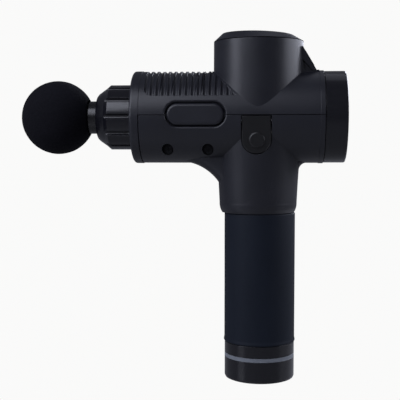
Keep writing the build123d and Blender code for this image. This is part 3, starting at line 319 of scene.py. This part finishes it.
def circuit_board(name, colour):
    """Solder mask with faint tracks under it."""
    t = Tree(name)
    tracks = t.cells(260.0, "DISTANCE_TO_EDGE")
    line = t.ramp(tracks, 0.02, 0.05, 1.0, 0.0)
    t.colour(t.blend(line, colour, brighter(colour, 1.7)))
    t.roughness(t.ramp(t.noise(300.0), 0.3, 0.7, 0.3, 0.42))
    t.bump(line, 0.2, 0.00004)
    return t.material


BLACK = (0.0100, 0.0107, 0.0160)
EVEN = (1.0, 1.0, 1.0)  # no brushing direction
LOOKS = {
    "abs_black": moulded("abs_black", BLACK, 0.40),
    "gloss_black": polished("gloss_black", (0.0065, 0.0066, 0.0095), 0.17),
    "button_black": moulded("button_black", (0.0066, 0.0066, 0.0072), 0.34),
    "grip_rubber": silicone("grip_rubber", (0.0094, 0.0128, 0.0208)),
    "foam_black": foam("foam_black", (0.0052, 0.0052, 0.0078)),
    "black_rubber": moulded("black_rubber", (0.006, 0.006, 0.007), 0.7),
    "screen_glass": polished("screen_glass", (0.003, 0.003, 0.004), 0.06, spec=0.3),
    "light_guide": light_guide("light_guide", (0.20, 0.22, 0.25)),
    "screw_steel": metal("screw_steel", (0.035, 0.035, 0.038), 0.35),
    "bearing_steel": metal("bearing_steel", (0.58, 0.58, 0.6), 0.15),
    "rotor_steel": metal("rotor_steel", (0.10, 0.10, 0.11), 0.35),
    "magnet": metal("magnet", (0.28, 0.28, 0.3), 0.35),
    "lamination": metal("lamination", (0.26, 0.26, 0.28), 0.45, stretch=(1.0, 1.0, 40.0)),
    "copper": metal("copper", (0.62, 0.25, 0.11), 0.3, stretch=(1.0, 1.0, 30.0)),
    "bronze": metal("bronze", (0.45, 0.28, 0.12), 0.45, spots=0.5),
    "cast_aluminium": metal("cast_aluminium", (0.5, 0.51, 0.52), 0.42, stretch=EVEN, spots=0.6),
    "black_anodised": polished("black_anodised", (0.008, 0.008, 0.009), 0.24),
    "board_green": circuit_board("board_green", (0.012, 0.09, 0.03)),
    "component_black": moulded("component_black", (0.008, 0.008, 0.008), 0.45),
    "display_frame": moulded("display_frame", (0.02, 0.02, 0.02), 0.5),
    "cell_wrap": moulded("cell_wrap", (0.03, 0.12, 0.3), 0.35, grain=600.0),
    "spacer_white": moulded("spacer_white", (0.5, 0.5, 0.48), 0.6, wear=1.1),
    "brass_contact": metal("brass_contact", (0.6, 0.42, 0.16), 0.2),
    "spring_steel": metal("spring_steel", (0.4, 0.4, 0.42), 0.3),
    "nylon": moulded("nylon", (0.4, 0.38, 0.33), 0.5, wear=1.1),
}


def dress_cad_nodes():
    """Gives every CAD node the look of its record slot."""
    slots = {entry["node"]: entry["material_slot"] for entry in frame["record"]["subparts"]}
    for node, piece in frame["nodes"].items():
        look = LOOKS[slots[node]]
        piece.data.materials.clear()
        piece.data.materials.append(look)


dress_cad_nodes()


# ---------------------------------------------------------------- soft pieces


def link_mesh(name, mesh):
    """Turns a finished bmesh into an object of the scene."""
    data = bpy.data.meshes.new(name)
    mesh.to_mesh(data)
    mesh.free()
    piece = bpy.data.objects.new(name, data)
    bpy.context.scene.collection.objects.link(piece)
    return piece


def lathe(name, outline, place, segments=256):
    """A turned mesh; place makes a point from each pair of the outline and an angle."""
    mesh = bmesh.new()
    rings = []
    for first, second in outline:
        ring = []
        for step in range(segments):
            angle = 2 * math.pi * step / segments
            ring.append(mesh.verts.new(place(first, second, angle)))
        rings.append(ring)
    for low, high in zip(rings, rings[1:]):
        for step in range(segments):
            after = (step + 1) % segments
            mesh.faces.new((low[step], low[after], high[after], high[step]))
    bmesh.ops.recalc_face_normals(mesh, faces=mesh.faces)
    for face in mesh.faces:
        face.smooth = True
    return link_mesh(name, mesh)


def make_foam_ball():
    """The foam ball: a moulding line around its waist, a soft lip at the stem, uneven skin."""
    outline = []
    last = math.asin(BALL_SEAT_R / BALL_R)
    for step in range(BALL_STEPS + 1):
        angle = math.pi - (math.pi - last) * step / BALL_STEPS
        outline.append((BALL_X + BALL_R * math.cos(angle), BALL_R * math.sin(angle) + TINY))
    seat_x, seat_r = outline[-1]
    for turn in (30, 60, 90):
        drop = math.radians(turn)
        lip_x = seat_x + 0.2 * MM - BALL_LIP * math.sin(drop)
        outline.append((lip_x, seat_r - BALL_LIP * (1 - math.cos(drop))))
    outline.append((seat_x - 3.0 * MM, seat_r - BALL_LIP))

    def place(along, radius, angle):
        point = Vector((along, radius * math.cos(angle), AXIS_Z + radius * math.sin(angle)))
        outward = point - Vector((BALL_X, 0.0, AXIS_Z))
        lump = noise.noise(point * 90.0) * LUMP_HEIGHT + noise.noise(point * 700.0) * PIMPLE_HEIGHT
        line = math.exp(-((point.y / MOULD_LINE_HALF) ** 2)) * MOULD_LINE_HEIGHT
        return point + outward.normalized() * (lump + line - BALL_SHRINK)

    ball = lathe("foam_ball", outline, place, BALL_SEGMENTS)
    ball.data.materials.append(LOOKS["foam_black"])
    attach(ball, "head")
    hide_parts("massage_ball")


def make_sleeve():
    """The silicone sleeve: a rolled bead at its foot and a slightly uneven skin."""
    outline = [(SLEEVE_FOOT_Z + rise, SLEEVE_R + swell) for rise, swell in SLEEVE_BEAD]
    start = SLEEVE_FOOT_Z + SLEEVE_BEAD_END
    end = SLEEVE_TOP_Z - 0.5 * MM
    for row in range(SLEEVE_ROWS + 1):
        outline.append((start + (end - start) * row / SLEEVE_ROWS, SLEEVE_R))
    outline.append((SLEEVE_TOP_Z - 0.2 * MM, SLEEVE_R - 0.06 * MM))
    outline.append((SLEEVE_TOP_Z, SLEEVE_R - 0.3 * MM))
    outline.append((SLEEVE_TOP_Z, SLEEVE_R - 1.5 * MM))

    def place(height, radius, angle):
        x, y = radius * math.cos(angle), radius * math.sin(angle)
        ripple = noise.noise(Vector((x * 60.0, y * 60.0, height * 25.0))) * SLEEVE_RIPPLE
        share = 1.0 + ripple / radius
        return Vector((x * share, y * share, height))

    sleeve = lathe("silicone_sleeve", outline, place)
    sleeve.data.materials.append(LOOKS["grip_rubber"])
    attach(sleeve, "battery")
    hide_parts("grip_sleeve")


def make_seam_lips():
    """The inner lips that close the seam between the upper and lower housings."""
    front, rear = SEAM_LIP_X
    for side, name in ((-1, "seam_lip_left"), (1, "seam_lip_right")):
        mesh = bmesh.new()
        bmesh.ops.create_cube(mesh, size=1.0)
        for vert in mesh.verts:
            vert.co.x = front + (vert.co.x + 0.5) * (rear - front)
            vert.co.y = side * (SEAM_LIP_INNER_Y + (side * vert.co.y + 0.5) * SEAM_LIP_THICK)
            vert.co.z = SEAM_Z + vert.co.z * SEAM_LIP_HEIGHT
        bmesh.ops.bevel(mesh, geom=mesh.edges[:], offset=SEAM_LIP_ROUND, segments=2, affect="EDGES")
        piece = link_mesh(name, mesh)
        piece.data.materials.append(LOOKS["abs_black"])
        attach(piece, "main")


make_foam_ball()
make_sleeve()
make_seam_lips()


# ---------------------------------------------------------------- studio


def add_area(name, place, size, power):
    """A soft box that faces the middle of the gun."""
    light = bpy.data.lights.new(name, "AREA")
    light.shape = "RECTANGLE"
    light.size, light.size_y = size
    light.energy = power
    light.color = COOL
    lamp = bpy.data.objects.new(name, light)
    bpy.context.scene.collection.objects.link(lamp)
    lamp.location = place
    aim = Vector(MIDDLE) - Vector(place)
    lamp.rotation_euler = aim.to_track_quat("-Z", "Y").to_euler()


def around(azimuth, distance, height):
    """A place around the handle; azimuth is counted from +X toward +Y."""
    angle = math.radians(azimuth)
    return distance * math.cos(angle), distance * math.sin(angle), height


def round_sheet(name, floor, glow, colour, tint, rough, spec):
    """A pale sheet all around: floor, curve and wall in one."""
    line = [(TINY, 0.0), (STAGE_R - STAGE_BEND, 0.0)]
    steps = 12
    for step in range(1, steps + 1):
        angle = math.radians(90 * step / steps)
        reach = STAGE_R - STAGE_BEND * (1 - math.sin(angle))
        line.append((reach, STAGE_BEND * (1 - math.cos(angle))))
    line += [(STAGE_R, STAGE_TOP), (TINY, STAGE_TOP)]

    def place(radius, height, angle):
        return Vector((radius * math.cos(angle), radius * math.sin(angle), floor + height))

    sheet = lathe(name, line, place, 96)
    t = Tree(name)
    t.put(Base_Color=(tint, tint, tint, 1.0), Roughness=rough, Emission_Color=(*colour, 1.0))
    t.put(Emission_Strength=glow, Specular_IOR_Level=spec)
    sheet.data.materials.append(t.material)
    return sheet


def make_stage():
    """The white room that the camera sees, and a dim floor and wall that the gun reflects."""
    seen = round_sheet("stage", FLOOR_Z, STAGE_GLOW, STAGE_WHITE, tint=0.0, rough=1.0, spec=0.0)
    seen.visible_diffuse = False
    seen.visible_glossy = False
    seen.visible_shadow = False
    below = FLOOR_Z - 2 * MM
    bounce = round_sheet("stage_bounce", below, BOUNCE_GLOW, COOL, tint=0.2, rough=0.3, spec=0.8)
    bounce.visible_camera = False


def make_world():
    world = bpy.data.worlds.new("studio")
    bpy.context.scene.world = world
    world.use_nodes = True
    background = world.node_tree.nodes["Background"]
    background.inputs["Color"].default_value = (*COOL, 1.0)
    background.inputs["Strength"].default_value = WORLD_GLOW


def make_camera():
    data = bpy.data.cameras.new("camera")
    data.lens = CAMERA_LENS
    data.sensor_width = CAMERA_SENSOR
    camera = bpy.data.objects.new("camera", data)
    bpy.context.scene.collection.objects.link(camera)
    camera.location = CAMERA_AT
    camera.rotation_euler = (math.radians(90 - CAMERA_PITCH), 0.0, math.radians(CAMERA_YAW))
    bpy.context.scene.camera = camera


make_stage()
make_world()
make_camera()
for name, spot, size, power in LIGHTS:
    add_area(name, around(*spot), size, power)
bpy.context.scene.view_settings.view_transform = "Standard"
